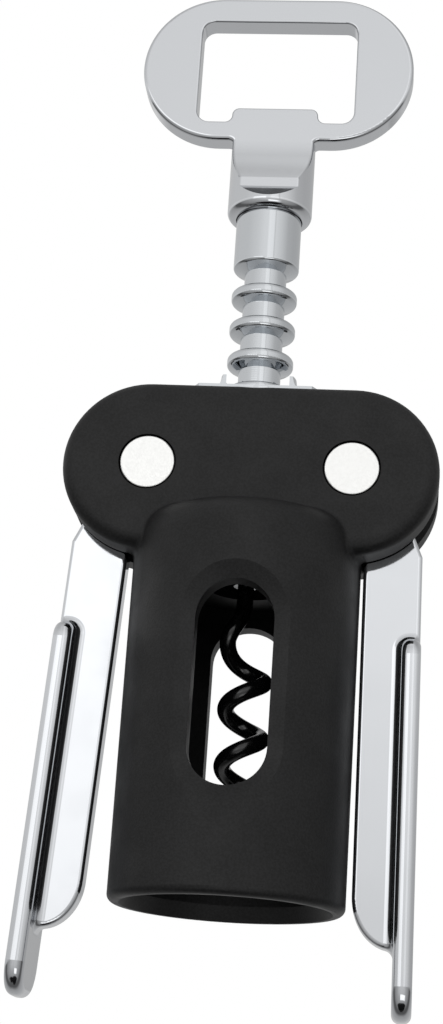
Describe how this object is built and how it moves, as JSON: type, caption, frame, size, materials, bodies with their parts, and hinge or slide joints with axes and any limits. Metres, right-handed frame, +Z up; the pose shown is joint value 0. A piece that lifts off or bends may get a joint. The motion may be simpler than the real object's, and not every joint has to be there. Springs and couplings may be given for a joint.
{
  "type": "lever corkscrew",
  "caption": "Wing corkscrew with a windowed black bell, geared chrome levers, a ringed rack, a worm screw and a bottle opener handle.",
  "frame": {"origin": "on the bore's axis at the lower end of the socket's wall, 2.5 mm above the plane of the bell's rim", "axes": "+Z runs up the spindle from the bell's mouth to the opener; X runs across the two lever pivots, with the left lever at -X; the front, with the window facing the viewer, is -Y and the back is +Y"},
  "size_m": [0.0642, 0.0376, 0.1778],
  "materials": {
    "housing_plastic": "moulded soft-touch black, fine grain",
    "chrome_plate": "bright plated die casting",
    "pin_steel": "satin faced heads",
    "rod_steel": "turned",
    "worm_coating": "gloss black non-stick coat on steel wire",
    "washer_plastic": "natural"
  },
  "bodies": {
    "housing": {"body": "housing_plastic", "top_guide_bush": "chrome_plate", "left_pin_front": "pin_steel", "left_pin_rear": "pin_steel", "right_pin_front": "pin_steel", "right_pin_rear": "pin_steel"},
    "rack": {"rack_sleeve": "chrome_plate"},
    "spindle": {"opener_handle": "chrome_plate", "handle_cross_pin": "rod_steel", "core_rod": "rod_steel", "worm": "worm_coating", "hub_washer": "washer_plastic", "flange_washer": "washer_plastic"},
    "left_arm": {"left_lever": "chrome_plate"},
    "right_arm": {"right_lever": "chrome_plate"}
  },
  "joints": [
    {"name": "rack_slide", "type": "slide", "parent": "housing", "child": "rack", "axis": [0, 0, 1], "range_m": [-0.0285, 0]},
    {"name": "handle_turn", "type": "hinge", "parent": "rack", "child": "spindle", "pos_m": [0, 0, 0.1178], "axis": [0, 0, 1], "continuous": true},
    {"name": "left_lever_swing", "type": "hinge", "parent": "housing", "child": "left_arm", "pos_m": [-0.01675, 0, 0.06825], "axis": [0, 1, 0], "range_deg": [0, 137.3]},
    {"name": "right_lever_swing", "type": "hinge", "parent": "housing", "child": "right_arm", "pos_m": [0.01675, 0, 0.06825], "axis": [0, -1, 0], "range_deg": [0, 137.3]}
  ],
  "couplings": [
    {"joint": "left_lever_swing", "follows": "rack_slide", "rad_per_m": -84.034},
    {"joint": "right_lever_swing", "follows": "rack_slide", "rad_per_m": -84.034}
  ]
}
